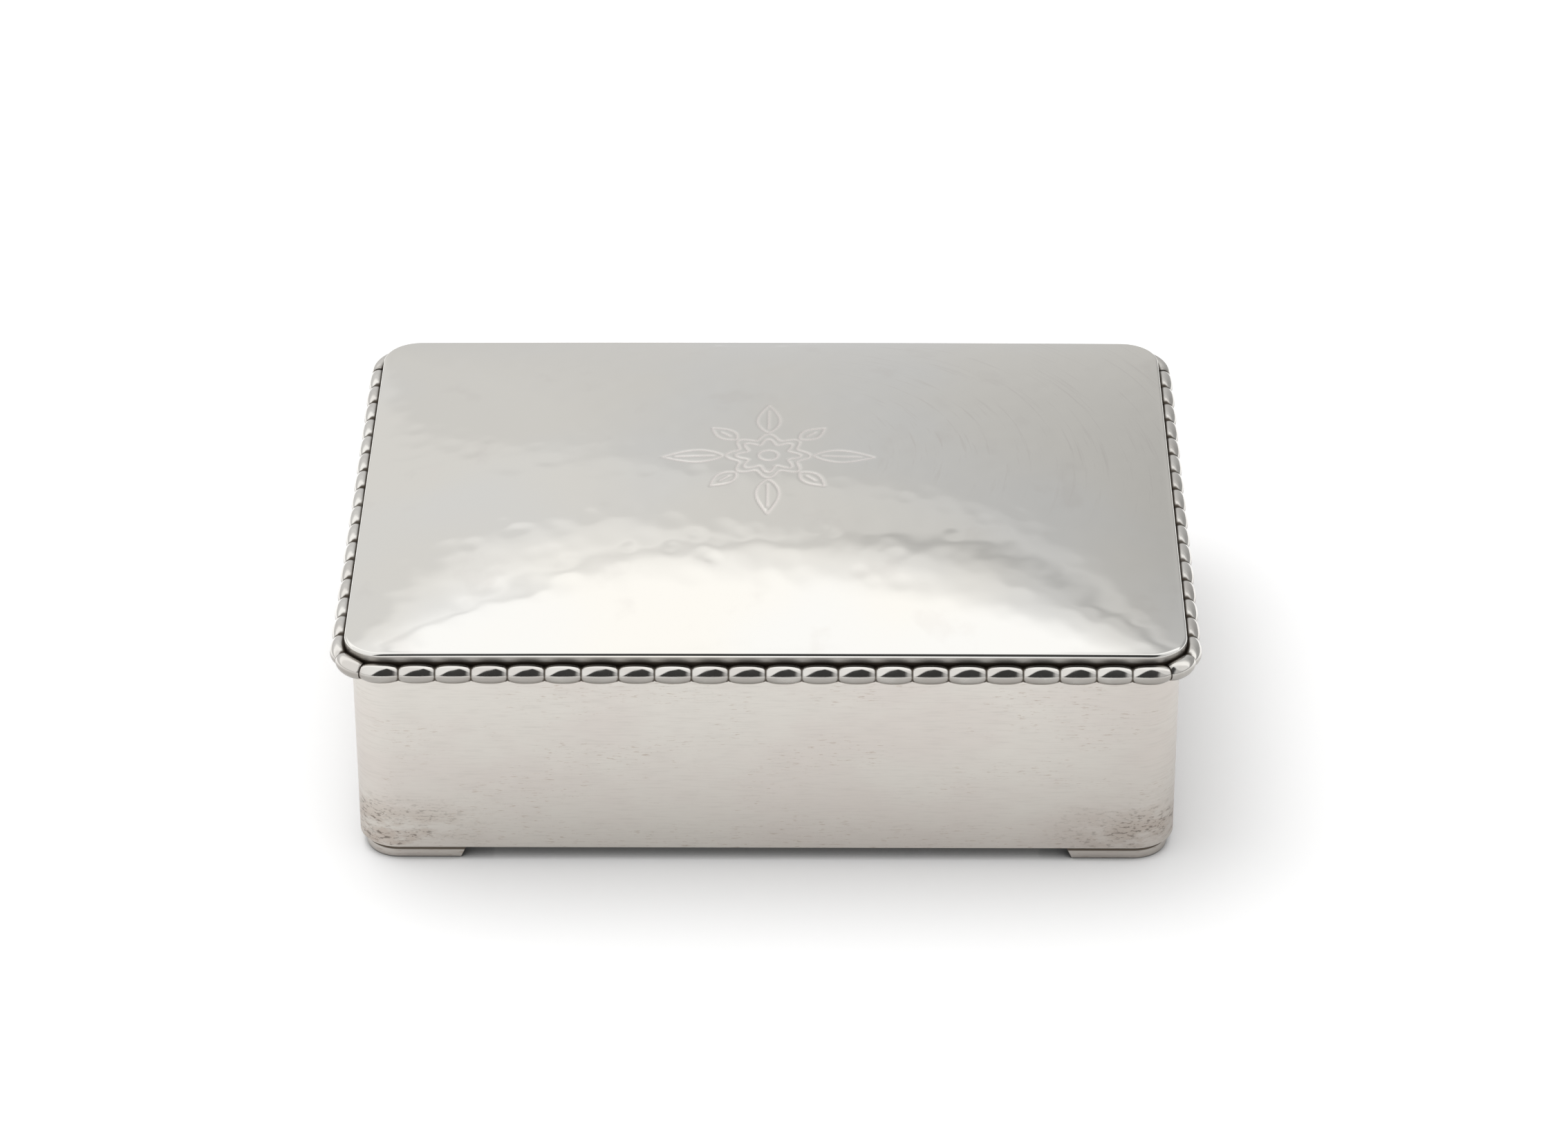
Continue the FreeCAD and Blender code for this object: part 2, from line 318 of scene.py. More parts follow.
def lid_shell(material):
    """The whole sheet of the lid as one closed mesh."""
    radius = lid_corner_radius - lid_edge_radius
    half_x, half_y = lid_high.x - lid_edge_radius, lid_high.y - lid_edge_radius
    fine_half = rosette_radius + rosette_margin
    lines_x = graded_lines(half_x, 0, fine_half, end_line_count)
    lines_y = graded_lines(half_y, rosette_place_y, fine_half, side_line_count)
    top, engraved = lid_top_grid(lines_x, lines_y)
    faces = grid_faces(len(lines_x), len(lines_y), 0, True)
    # Rolled edge and upright side, as rings of points under the dome's border
    ring = border_numbers(len(lines_x), len(lines_y))
    border = top[ring]
    centres, outward = outline_feet(border, half_x, half_y, radius)
    points, count = [top], len(top)
    for out, z in side_levels(border[:, 2]):
        spread = centres + outward * (radius + lid_edge_radius * out)
        points.append(np.column_stack([spread, z]))
        below = list(range(count, count + len(border)))
        faces += ring_faces(below, ring)
        ring, count = below, count + len(border)
    # Inside of the lid, on a coarser grid, and the narrow face between inside and outside
    coarse_x, coarse_y = lines_x[::lining_step], lines_y[::lining_step]
    under = lid_under_grid(coarse_x, coarse_y)
    faces += grid_faces(len(coarse_x), len(coarse_y), count, False)
    loop = border_numbers(len(coarse_x), len(coarse_y))
    low = under[loop] * (1, 1, 0) + (0, 0, lid_low.z)
    low_ring = list(range(count + len(under), count + len(under) + len(low)))
    faces += ring_faces([count + number for number in loop], low_ring)
    for i in range(len(low)):
        strip = [ring[(i * lining_step + k) % len(ring)] for k in range(lining_step + 1)]
        faces.append((*strip[::-1], low_ring[i], low_ring[(i + 1) % len(low)]))
    points = np.concatenate(points + [under, low])
    grooves = np.concatenate([engraved, np.zeros(len(points) - len(engraved))])
    # Tarnish and painted shade in the crevice over the beads and up the side
    tarnish = side_tarnish(points[:, 2])
    return new_mesh("lid_sheet", points, faces, material, tarnish=tarnish, engraved=grooves)


# The bead border: a round-cornered line of barrel beads, pinched where they meet
bead_neck_share = 0.70
corner_neck_share = 0.80
bead_fullness = 2.6
bead_rings = 22
bead_sides = 32
bead_wander = 0.16 * MM
bead_size_change_share = 0.025
notch_share = 0.07
top_notch_share = 0.24
top_notch_turns = (math.radians(55), math.radians(95))
# Painted shade widening the notch at its bottom, over the gap above the wall
low_notch_shade_share = 0.16
low_notch_shade_turns = (math.radians(0), math.radians(40))
notch_core_share = 0.35
corner_notch_share = 0.4
# Painted shade over the lower half of each bead
lower_half_shade_share = 0.58
lower_half_shade_turns = (math.radians(-26), math.radians(-2))
# Tarnish and painted shade at the back of each bead, in the crevice
back_turns = (math.radians(97), math.radians(107))
straight_x = border_half_x - border_corner_radius
straight_y = border_half_y - border_corner_radius
border_quarter = border_corner_radius * math.pi / 2
bend_length = (border_quarter - corner_bead_length) / 2
border_length = 4 * (straight_x + straight_y + border_quarter)


def border_place(distance):
    """Place on the beads' centre line, and the way out, at a distance from the middle of the front."""
    left = (distance + straight_x) % border_length
    for side in range(4):
        along, across = ((straight_x, straight_y), (straight_y, straight_x))[side % 2]
        spin = Matrix.Rotation(side * math.pi / 2, 3, "Z")
        if left <= 2 * along:
            place = Vector((left - along, -across - border_corner_radius, 0))
            return spin @ place, spin @ Vector((0, -1, 0))
        left -= 2 * along
        if left <= border_quarter:
            turn = left / border_corner_radius
            out = Vector((math.sin(turn), -math.cos(turn), 0))
            return spin @ (Vector((along, -across, 0)) + out * border_corner_radius), spin @ out
        left -= border_quarter


def bead_tarnish(step, turn, notch_strength):
    """Dark in the notch between two beads, wider at its top and, as painted shade, at its bottom; painted
    shade below; tarnish and painted shade at the back.
    """
    spread = notch_share + top_notch_share * smooth_step(turn, *top_notch_turns)
    spread += low_notch_shade_share * smooth_step(-turn, *low_notch_shade_turns)
    notch = notch_strength * smooth_step(abs(step), 1 - spread, 1 - notch_core_share * spread)
    painted_shade = lower_half_shade_share * smooth_step(-turn, *lower_half_shade_turns)
    return max(notch, painted_shade, smooth_step(abs(turn), *back_turns))


def bead_run(name, start, length, count, material, seed):
    """A row of beads along the border's line, flat where they meet the lid's side."""
    jitter = random.Random(seed)
    dividers = [start + length * i / count for i in range(count + 1)]
    dividers[1:-1] = [place + jitter.uniform(-1, 1) * bead_wander for place in dividers[1:-1]]
    points, dark, rings = [], [], []
    lift = Vector((0, 0, bead_height))
    steps = np.sin(np.linspace(-math.pi / 2, math.pi / 2, bead_rings + 1)).tolist()
    neck_share = bead_neck_share if count > 1 else corner_neck_share
    notch_strength = 1 if count > 1 else corner_notch_share
    for first, last in zip(dividers, dividers[1:]):
        swell = 1 - jitter.uniform(0, 1) * bead_size_change_share
        for step in steps if last == dividers[-1] else steps[:-1]:
            pinch = abs(step) ** bead_fullness
            radius = bead_radius * (swell * (1 - pinch) + neck_share * pinch)
            centre, out = border_place((first + last) / 2 + step * (last - first) / 2)
            widest = math.acos(-bead_standoff / radius)
            rings.append(list(range(len(points), len(points) + bead_sides + 1)))
            for turn in np.linspace(-widest, widest, bead_sides + 1).tolist():
                way = out * math.cos(turn) + Vector((0, 0, math.sin(turn)))
                points.append(centre + lift + radius * way)
                dark.append(bead_tarnish(step, turn, notch_strength))
    faces = [tuple(rings[0]), tuple(rings[-1][::-1])]
    for first, second in zip(rings, rings[1:]):
        faces += ring_faces(second, first)
    return new_mesh(name, points, faces, material, tarnish=dark)


def bead_border(material):
    """Four runs of beads and four corner beads, by the name of the solid that each one replaces."""
    front_corner, rear_corner = corner_bead_length, border_quarter - bend_length
    stretches = [("bead_strip_front", 2 * (straight_x + bend_length), front_bead_count),
                 ("corner_bead_front_right", front_corner, 1),
                 ("bead_strip_right", 2 * straight_y + bend_length, side_bead_count),
                 ("corner_bead_rear_right", rear_corner, 1),
                 ("bead_strip_rear", 2 * (straight_x + bend_length), front_bead_count),
                 ("corner_bead_rear_left", rear_corner, 1),
                 ("bead_strip_left", 2 * straight_y + bend_length, side_bead_count),
                 ("corner_bead_front_left", front_corner, 1)]
    start = -straight_x - bend_length
    beads = {}
    for seed, (node, length, count) in enumerate(stretches):
        beads[node] = bead_run(node + "_beads", start, length, count, material, seed)
        start += length
    return beads


# The case's wall
wall_step = 2.5 * MM
corner_steps = 14
wall_levels = 30
rim_round = 0.18 * MM
dent_depth = 0.06 * MM
wave_run_x, wave_rise_x = 17 * MM, 5.5 * MM
wave_run_y, wave_rise_y = 19 * MM, 13 * MM


def plan_outline(half_x, half_y, radius, step):
    """Centres and outward normals round a rectangle with round corners, anticlockwise."""
    feet = []
    ends = [(1, -1, -math.pi / 2), (1, 1, 0), (-1, 1, math.pi / 2), (-1, -1, math.pi)]
    for i, (side_x, side_y, turn) in enumerate(ends):
        centre = Vector((side_x * (half_x - radius), side_y * (half_y - radius)))
        for k in range(corner_steps + 1):
            angle = turn + math.pi / 2 * k / corner_steps
            feet.append((centre.x, centre.y, math.cos(angle), math.sin(angle)))
        next_x, next_y = ends[(i + 1) % 4][:2]
        end = Vector((next_x * (half_x - radius), next_y * (half_y - radius)))
        count = round((end - centre).length / step)
        out = feet[-1][2:]
        for k in range(1, count):
            spot = centre.lerp(end, k / count)
            feet.append((spot.x, spot.y, *out))
    return np.array(feet)


def case_wall(material):
    """The band of sheet, with slightly uneven faces and softened edges, as a closed mesh."""
    outline = plan_outline(wall_high.x, wall_high.y, wall_corner_radius, wall_step)
    outer, inner = wall_corner_radius, wall_corner_radius - wall_sheet
    low, high = wall_low.z, wall_high.z
    heights = np.linspace(low + rim_round, high - rim_round, wall_levels)
    profile = [(outer - rim_round, low)] + [(outer, z) for z in heights] + [(outer - rim_round, high)]
    profile += [(inner + rim_round, high)] + [(inner, z) for z in heights[::-1]]
    profile += [(inner + rim_round, low)]
    points = []
    count = len(outline)
    x, y = outline[:, 0], outline[:, 1]
    for reach, z in profile:
        wave = np.sin(x / wave_run_x + z / wave_rise_x) * np.cos(y / wave_run_y - z / wave_rise_y)
        fade = math.sin(math.pi * (z - low) / (high - low))
        spread = reach - dent_depth * (1 + wave) / 2 * fade
        ring = [x + outline[:, 2] * spread, y + outline[:, 3] * spread, np.full(count, z)]
        points.append(np.stack(ring, 1))
    faces = []
    rings = [list(range(i * count, (i + 1) * count)) for i in range(len(profile))]
    for i, ring in enumerate(rings):
        faces += ring_faces(ring, rings[(i + 1) % len(rings)])
    return new_mesh("case_wall", np.concatenate(points), faces, material)


# The feet, with a line of painted shade along the top of each one, under the wall's edge, and darkened end
# faces
foot_round = 0.4 * MM
foot_round_steps = 5
# Painted shade from this height up to the top of the foot, under the wall's edge
foot_shade_low = 1.75 * MM
foot_shade_fade = 0.2 * MM
# Darkening of the foot's end faces
foot_end_tarnish_share = 0.8
foot_end_edge = 0.12 * MM


def foot_profile():
    """Foot section as (depth in from the wall's face, height), round at the table."""
    inset = wall_high.x - foot_high.x
    groove = foot_high.z - foot_groove_height
    section = []
    for k in range(foot_round_steps, -1, -1):
        turn = math.pi / 2 * k / foot_round_steps
        section.append((inset + foot_round * (1 - math.cos(turn)), foot_round * (1 - math.sin(turn))))
    section += [(inset, foot_shade_low), (inset, foot_shade_low + foot_shade_fade)]
    section += [(inset, groove - foot_round / 2), (inset + foot_round / 2, groove)]
    section += [(inset + foot_groove_depth, groove), (inset + foot_groove_depth, foot_high.z)]
    section += [(inset + foot_width, foot_high.z), (inset + foot_width, 0)]
    return section


def foot_stations(radius):
    """Places round the corner where the section stands, the way out there, and which end is near."""
    centre_x, centre_y = wall_high.x - radius, wall_high.y - radius
    reach = centre_x - foot_low.x
    spans = [reach, reach - foot_end_edge, reach / 2]
    stations = [(centre_x - span, centre_y, 0, 1, -1) for span in spans]
    for k in range(corner_steps + 1):
        turn = math.pi / 2 * (1 - k / corner_steps)
        stations.append((centre_x, centre_y, math.cos(turn), math.sin(turn), 0))
    return stations + [(centre_x, centre_y - span, 1, 0, 1) for span in spans[::-1]]


def corner_foot(name, side_x, side_y, material):
    """A bracket foot swept round one corner of the wall, with slanted ends."""
    radius = wall_corner_radius
    stations, section = foot_stations(radius), foot_profile()
    last = len(stations) - 1
    points, dark = [], []
    for number, (x, y, out_x, out_y, end) in enumerate(stations):
        for depth, z in section:
            near_end = number in (0, 1, last - 1, last)
            slant = foot_end_slant * (1 - z / foot_high.z) if near_end else 0
            spot_x = x + out_x * (radius - depth) + (slant if end < 0 else 0)
            spot_y = y + out_y * (radius - depth) + (slant if end > 0 else 0)
            points.append((side_x * spot_x, side_y * spot_y, z))
            # Painted shade along the top of the foot, under the wall's edge, and darkened end faces
            line = smooth_step(z, foot_shade_low, foot_shade_low + foot_shade_fade)
            dark.append(max(line, foot_end_tarnish_share if number in (0, last) else 0))
    size = len(section)
    rings = [list(range(i * size, (i + 1) * size)) for i in range(len(stations))]
    faces = [tuple(rings[0][::-1]), tuple(rings[-1])]
    for first, second in zip(rings, rings[1:]):
        faces += ring_faces(first, second)
    if side_x * side_y < 0:
        faces = [face[::-1] for face in faces]
    return new_mesh(name, points, faces, material, tarnish=dark)


# Node helpers


def node_material(name):
    """A new material, its node tree and its shader."""
    material = bpy.data.materials.new(name)
    material.use_nodes = True
    tree = material.node_tree
    return material, tree, tree.nodes["Principled BSDF"]


def metal_material(name):
    """A new material whose shader is metal all over."""
    material, tree, shader = node_material(name)
    shader.inputs["Metallic"].default_value = 1
    return material, tree, shader


def feed(tree, socket, setting):
    """Links an output to a socket, or sets the socket to a number or colour."""
    if isinstance(setting, bpy.types.NodeSocket):
        tree.links.new(setting, socket)
    elif isinstance(setting, tuple) and len(socket.default_value) == 4:
        socket.default_value = (*setting, 1)
    else:
        socket.default_value = setting


def noise(tree, sizes, detail=3, roughness=0.5):
    """Noise on the object's own coordinates, with grains of the given sizes along X, Y and Z."""
    place = tree.nodes.new("ShaderNodeTexCoord")
    mapping = tree.nodes.new("ShaderNodeMapping")
    mapping.inputs["Scale"].default_value = [1 / size for size in sizes]
    tree.links.new(place.outputs["Object"], mapping.inputs["Vector"])
    return noise_at(tree, mapping.outputs["Vector"], detail, roughness)


def noise_at(tree, vector, detail, roughness):
    """Noise on any coordinates."""
    texture = tree.nodes.new("ShaderNodeTexNoise")
    texture.inputs["Scale"].default_value = 1
    texture.inputs["Detail"].default_value = detail
    texture.inputs["Roughness"].default_value = roughness
    tree.links.new(vector, texture.inputs["Vector"])
    return texture.outputs["Fac"]


def along(tree, axis):
    """Place on the box along an axis."""
    place = tree.nodes.new("ShaderNodeTexCoord")
    split = tree.nodes.new("ShaderNodeSeparateXYZ")
    tree.links.new(place.outputs["Object"], split.inputs["Vector"])
    return split.outputs[axis]


def maths(tree, operation, first, second=0):
    """One sum of two values."""
    node = tree.nodes.new("ShaderNodeMath")
    node.operation = operation
    feed(tree, node.inputs[0], first)
    feed(tree, node.inputs[1], second)
    return node.outputs["Value"]


def product(tree, first, *others):
    """All the values multiplied together."""
    for other in others:
        first = maths(tree, "MULTIPLY", first, other)
    return first


def ranged(tree, value, from_low, from_high, to_low=0, to_high=1, smooth=True):
    """Carries a value from one range to another, held at both ends."""
    node = tree.nodes.new("ShaderNodeMapRange")
    node.interpolation_type = "SMOOTHSTEP" if smooth else "LINEAR"
    for socket, setting in zip(node.inputs, (value, from_low, from_high, to_low, to_high)):
        feed(tree, socket, setting)
    return node.outputs["Result"]


def blended(tree, factor, first, second, kind="FLOAT"):
    """Blend of two values by a factor."""
    node = tree.nodes.new("ShaderNodeMix")
    node.data_type = kind
    feed(tree, node.inputs["Factor"], factor)
    feed(tree, node.inputs["A"], first)
    feed(tree, node.inputs["B"], second)
    return node.outputs["Result"]


def mixed(tree, factor, first, second):
    """Blend of two colours by a factor."""
    return blended(tree, factor, first, second, "RGBA")


def point_value(tree, label):
    """Value that the mesh carries at its points under a name."""
    attribute = tree.nodes.new("ShaderNodeAttribute")
    attribute.attribute_name = label
    return attribute.outputs["Fac"]


def bumped(tree, height, strength, distance):
    """Normal roughened by a height."""
    bump = tree.nodes.new("ShaderNodeBump")
    bump.inputs["Strength"].default_value = strength
    bump.inputs["Distance"].default_value = distance
    tree.links.new(height, bump.inputs["Height"])
    return bump.outputs["Normal"]


# Materials. A noise has its grain's sizes along X, Y and Z, its detail and, where given, its roughness.
# Colour of tarnish and painted shade, in the crevices, up the lid's side and along the feet
tarnish_colour = (0.12, 0.10, 0.08)
tarnish_roughness = 0.45
fine_bump = 0.02 * MM

# Satin silver
sheet_colour = (0.68, 0.652, 0.607)
sheet_blush = (0.664, 0.622, 0.582)
sheet_scratch = (0.52, 0.49, 0.46)
sheet_stain = (0.42, 0.33, 0.27)
sheet_pit = (0.09, 0.07, 0.055)
# Painted shade colour, mixed in towards the foot of the wall and its right end
sheet_painted_shade = (0.36, 0.33, 0.30)
cloud_noise = ((26 * MM, 26 * MM, 15 * MM), 4, 0.55)
cloud_range = (0.38, 0.64)
grain_noise = ((6 * MM, 6 * MM, 0.36 * MM), 5, 0.65)
grain_scratch_range = (0.46, 0.74, 0, 0.30)
grain_roughness_range = (0.3, 0.75, 0.36, 0.46)
grain_strength = 0.10
patch_noise = ((17 * MM, 17 * MM, 8 * MM), 3)
patch_range = (0.46, 0.62)
low_wear_heights = (12 * MM, 5 * MM)
dash_noise = ((2.4 * MM, 2.4 * MM, 0.32 * MM), 3, 0.6)
dash_range = (0.58, 0.68)
dash_share = 0.6
stain_ends = (50 * MM, 74 * MM)
stain_sides = (38 * MM, 58 * MM)
stain_heights = (17 * MM, 7 * MM)
stain_foot = (3 * MM, 4 * MM)
stain_noise = ((9 * MM, 9 * MM, 3.5 * MM), 5, 0.7)
stain_range = (0.36, 0.56)
stain_share = 0.55
pit_noise = ((1.5 * MM, 1.5 * MM, 0.5 * MM), 3, 0.6)
pit_range = (0.53, 0.62)
pit_share = 0.85
# Painted shade: darker from 42 mm down to 3 mm up the wall, and from 45 mm to 80 mm out to the right end
painted_shade_height_range = (42 * MM, 3 * MM, 0, 0.26)
painted_shade_end_range = (45 * MM, 80 * MM, 0, 0.16)


def worn_dashes(tree):
    """Short marks, in patches and all along the foot of the wall."""
    patches = ranged(tree, noise(tree, *patch_noise), *patch_range)
    worn = maths(tree, "MAXIMUM", patches, ranged(tree, along(tree, "Z"), *low_wear_heights))
    return product(tree, ranged(tree, noise(tree, *dash_noise), *dash_range), worn)


def corner_stains(tree):
    """Cloudy patches low down on the upright corners."""
    near_end = ranged(tree, maths(tree, "ABSOLUTE", along(tree, "X")), *stain_ends)
    near_side = ranged(tree, maths(tree, "ABSOLUTE", along(tree, "Y")), *stain_sides)
    low = ranged(tree, along(tree, "Z"), *stain_heights)
    over_foot = ranged(tree, along(tree, "Z"), *stain_foot)
    patches = ranged(tree, noise(tree, *stain_noise), *stain_range)
    return product(tree, near_end, near_side, low, over_foot, patches)


def satin_silver():
    """Sheet: fine scratches, pinkish clouds, stained lower corners, and painted shade that darkens it
    towards the foot and the right end.
    """
    material, tree, shader = metal_material("satin_silver")
    cloud = noise(tree, *cloud_noise)
    grain = noise(tree, *grain_noise)
    colour = mixed(tree, ranged(tree, cloud, *cloud_range), sheet_colour, sheet_blush)
    colour = mixed(tree, ranged(tree, grain, *grain_scratch_range), colour, sheet_scratch)
    colour = mixed(tree, product(tree, worn_dashes(tree), dash_share), colour, sheet_stain)
    stain = corner_stains(tree)
    colour = mixed(tree, product(tree, stain, stain_share), colour, sheet_stain)
    pits = ranged(tree, noise(tree, *pit_noise), *pit_range)
    colour = mixed(tree, product(tree, stain, pit_share, pits), colour, sheet_pit)
    # Painted shade, darker towards the foot and the right end
    painted_shade = maths(tree, "ADD", ranged(tree, along(tree, "Z"), *painted_shade_height_range, smooth=False),
                 ranged(tree, along(tree, "X"), *painted_shade_end_range))
    colour = mixed(tree, painted_shade, colour, sheet_painted_shade)
    # Tarnish and painted shade that the feet carry at their points
    colour = mixed(tree, point_value(tree, "tarnish"), colour, tarnish_colour)
    tree.links.new(colour, shader.inputs["Base Color"])
    tree.links.new(ranged(tree, grain, *grain_roughness_range), shader.inputs["Roughness"])
    tree.links.new(bumped(tree, grain, grain_strength, fine_bump), shader.inputs["Normal"])
    return material


# Polished silver
lid_warm = (0.885, 0.86, 0.805)
lid_cool = (0.87, 0.86, 0.83)
lid_smudge = (0.78, 0.745, 0.705)
lid_engraving = (0.94, 0.87, 0.84)
tone_noise = ((60 * MM, 60 * MM, 60 * MM), 2)
tone_range = (0.4, 0.62)
smudge_noise = ((11 * MM, 15 * MM, 11 * MM), 4)
smudge_range = (0.58, 0.72)
smudge_share = 0.3
smudge_roughness = 0.03
ring_width = 1.1 * MM
ring_arc = 0.35
ring_detail = 4
ring_noise_roughness = 0.6
ring_range = (0.54, 0.70)
ring_share = 0.5
ring_place_x = (4 * MM, 34 * MM)
ring_place_y = (-25 * MM, 8 * MM)
rubbing_noise = ((9 * MM, 2.4 * MM, 2.4 * MM), 6, 0.6)
rubbing_roughness_range = (0.3, 0.75, 0.03, 0.065)
rubbing_strength = 0.05
engraving_share = 0.7
engraving_roughness = 0.42


def ring_scratches(tree):
    """Fine rubbing marks in arcs round the middle of the lid, at its rear right."""
    x, y = along(tree, "X"), along(tree, "Y")
    squares = maths(tree, "ADD", maths(tree, "POWER", x, 2), maths(tree, "POWER", y, 2))
    radius = maths(tree, "SQRT", squares)
    vector = tree.nodes.new("ShaderNodeCombineXYZ")
    tree.links.new(maths(tree, "DIVIDE", radius, ring_width), vector.inputs["X"])
    tree.links.new(maths(tree, "DIVIDE", maths(tree, "ARCTAN2", y, x), ring_arc), vector.inputs["Y"])
    marks = noise_at(tree, vector.outputs["Vector"], ring_detail, ring_noise_roughness)
    here = product(tree, ranged(tree, x, *ring_place_x), ranged(tree, y, *ring_place_y))
    return product(tree, ranged(tree, marks, *ring_range), here)


def polished_silver():
    """Lid: clear silver with faint smudges and rubbing marks, matt in the engraving, with tarnish and
    painted shade darkening its side and the crevice over the beads.
    """
    material, tree, shader = metal_material("polished_silver")
    tone = ranged(tree, noise(tree, *tone_noise), *tone_range)
    smudge = ranged(tree, noise(tree, *smudge_noise), *smudge_range)
    engraved = point_value(tree, "engraved")
    tarnish = point_value(tree, "tarnish")
    colour = mixed(tree, tone, lid_warm, lid_cool)
    colour = mixed(tree, product(tree, smudge, smudge_share), colour, lid_smudge)
    colour = mixed(tree, product(tree, ring_scratches(tree), ring_share), colour, lid_smudge)
    colour = mixed(tree, product(tree, engraved, engraving_share), colour, lid_engraving)
    # Tarnish and painted shade up the side and in the crevice
    colour = mixed(tree, tarnish, colour, tarnish_colour)
    tree.links.new(colour, shader.inputs["Base Color"])
    rubbed = noise(tree, *rubbing_noise)
    rough = maths(tree, "ADD", ranged(tree, rubbed, *rubbing_roughness_range),
                  product(tree, smudge, smudge_roughness))
    rough = blended(tree, tarnish, rough, tarnish_roughness)
    tree.links.new(blended(tree, engraved, rough, engraving_roughness), shader.inputs["Roughness"])
    tree.links.new(bumped(tree, rubbed, rubbing_strength, fine_bump), shader.inputs["Normal"])
    return material


# Bead silver
bead_bright = (0.80, 0.78, 0.74)
bead_dull = (0.74, 0.71, 0.67)
# Colour of patina in the joints and of painted shade on the beads
bead_tarnish_colour = (0.085, 0.07, 0.055)
bead_cloud_noise = ((8 * MM, 8 * MM, 8 * MM), 3)
bead_cloud_range = (0.4, 0.65)
bead_dirt_and_shade_range = (0.2, 0.5, 0.8, 1)
bead_wear_noise = ((2 * MM, 2 * MM, 2 * MM), 4)
bead_roughness_range = (0.3, 0.7, 0.06, 0.13)


def bead_silver():
    """Beads: bright silver, dark brown where they pinch and where they meet the lid, with painted shade on
    their lower halves and at the bottom of the pinches.
    """
    material, tree, shader = metal_material("bead_silver")
    cloud = noise(tree, *bead_cloud_noise)
    colour = mixed(tree, ranged(tree, cloud, *bead_cloud_range), bead_bright, bead_dull)
    # Patina in the joints, with painted shade below and in the crevice
    dirt_and_shade = product(tree, point_value(tree, "tarnish"), ranged(tree, cloud, *bead_dirt_and_shade_range))
    colour = mixed(tree, dirt_and_shade, colour, bead_tarnish_colour)
    tree.links.new(colour, shader.inputs["Base Color"])
    rough = ranged(tree, noise(tree, *bead_wear_noise), *bead_roughness_range)
    tree.links.new(blended(tree, dirt_and_shade, rough, tarnish_roughness), shader.inputs["Roughness"])
    return material


# Hinge silver
hinge_bright = (0.78, 0.76, 0.72)
hinge_dark = (0.66, 0.63, 0.585)
hinge_cloud_noise = ((16 * MM, 5 * MM, 4 * MM), 4)
hinge_cloud_range = (0.4, 0.7)
hinge_roughness_range = (0.3, 0.7, 0.2, 0.36)


def hinge_silver():
    """Hinge: plain drawn silver with a little darkening."""
    material, tree, shader = metal_material("hinge_silver")
    cloud = noise(tree, *hinge_cloud_noise)
    colour = mixed(tree, ranged(tree, cloud, *hinge_cloud_range), hinge_bright, hinge_dark)
    tree.links.new(colour, shader.inputs["Base Color"])
    tree.links.new(ranged(tree, cloud, *hinge_roughness_range), shader.inputs["Roughness"])
    return material


# The set: a white table under a softbox, with painted shade in the narrow gaps under the box
table_half_width = 450 * MM
table_front = -1300 * MM
table_back = 370 * MM
table_white = (0.97, 0.97, 0.97)
table_lift = 0.13
# Painted shade on the table in the narrow gaps under the box
painted_contact_shade = (0, 0, 0)
contact_reach = 6 * MM
contact_range = (0.12, 0.56, 0.06, 1)
softbox_place = (-450 * MM, 350 * MM, 1350 * MM)
softbox_target = (0, 0, 40 * MM)
softbox_size = (1600 * MM, 1200 * MM)
softbox_power = 9.6


def seen_directly(tree):
    """Camera rays, and mirror or glass rays whose light doesn't go on to a matt surface."""
    path = tree.nodes.new("ShaderNodeLightPath")
    shiny = maths(tree, "MAXIMUM", path.outputs["Is Glossy Ray"], path.outputs["Is Transmission Ray"])
    first = maths(tree, "LESS_THAN", path.outputs["Diffuse Depth"], 1)
    return path.outputs["Is Camera Ray"], product(tree, shiny, first)


def table_top():
    """The table, lit a little from within where it is seen directly, with painted shade where it is hemmed
    in under the box.
    """
    corners = [(-table_half_width, table_front, 0), (table_half_width, table_front, 0),
               (table_half_width, table_back, 0), (-table_half_width, table_back, 0)]
    material, tree, shader = node_material("white_table")
    nook = tree.nodes.new("ShaderNodeAmbientOcclusion")
    nook.inputs["Distance"].default_value = contact_reach
    # Painted shade: the table's colour and glow go dark where little is open over it
    open_share = ranged(tree, nook.outputs["AO"], *contact_range)
    tree.links.new(mixed(tree, open_share, painted_contact_shade, table_white), shader.inputs["Base Color"])
    shader.inputs["Roughness"].default_value = 1
    shader.inputs["Specular IOR Level"].default_value = 0
    shader.inputs["Emission Color"].default_value = (1, 1, 1, 1)
    seen = maths(tree, "MAXIMUM", *seen_directly(tree))
    tree.links.new(product(tree, open_share, table_lift, seen), shader.inputs["Emission Strength"])
    new_mesh("table_top", corners, [(0, 1, 2, 3)], material)


def softbox():
    """The lamp that throws the shadow on the table."""
    lamp = bpy.data.lights.new("softbox", "AREA")
    lamp.shape = "RECTANGLE"
    lamp.size, lamp.size_y = softbox_size
    lamp.energy = softbox_power
    piece = bpy.data.objects.new("softbox", lamp)
    piece.location = softbox_place
    ray = Vector(softbox_target) - Vector(softbox_place)
    piece.rotation_euler = ray.to_track_quat("-Z", "Y").to_euler()
    piece.visible_glossy = False
    bpy.context.scene.collection.objects.link(piece)


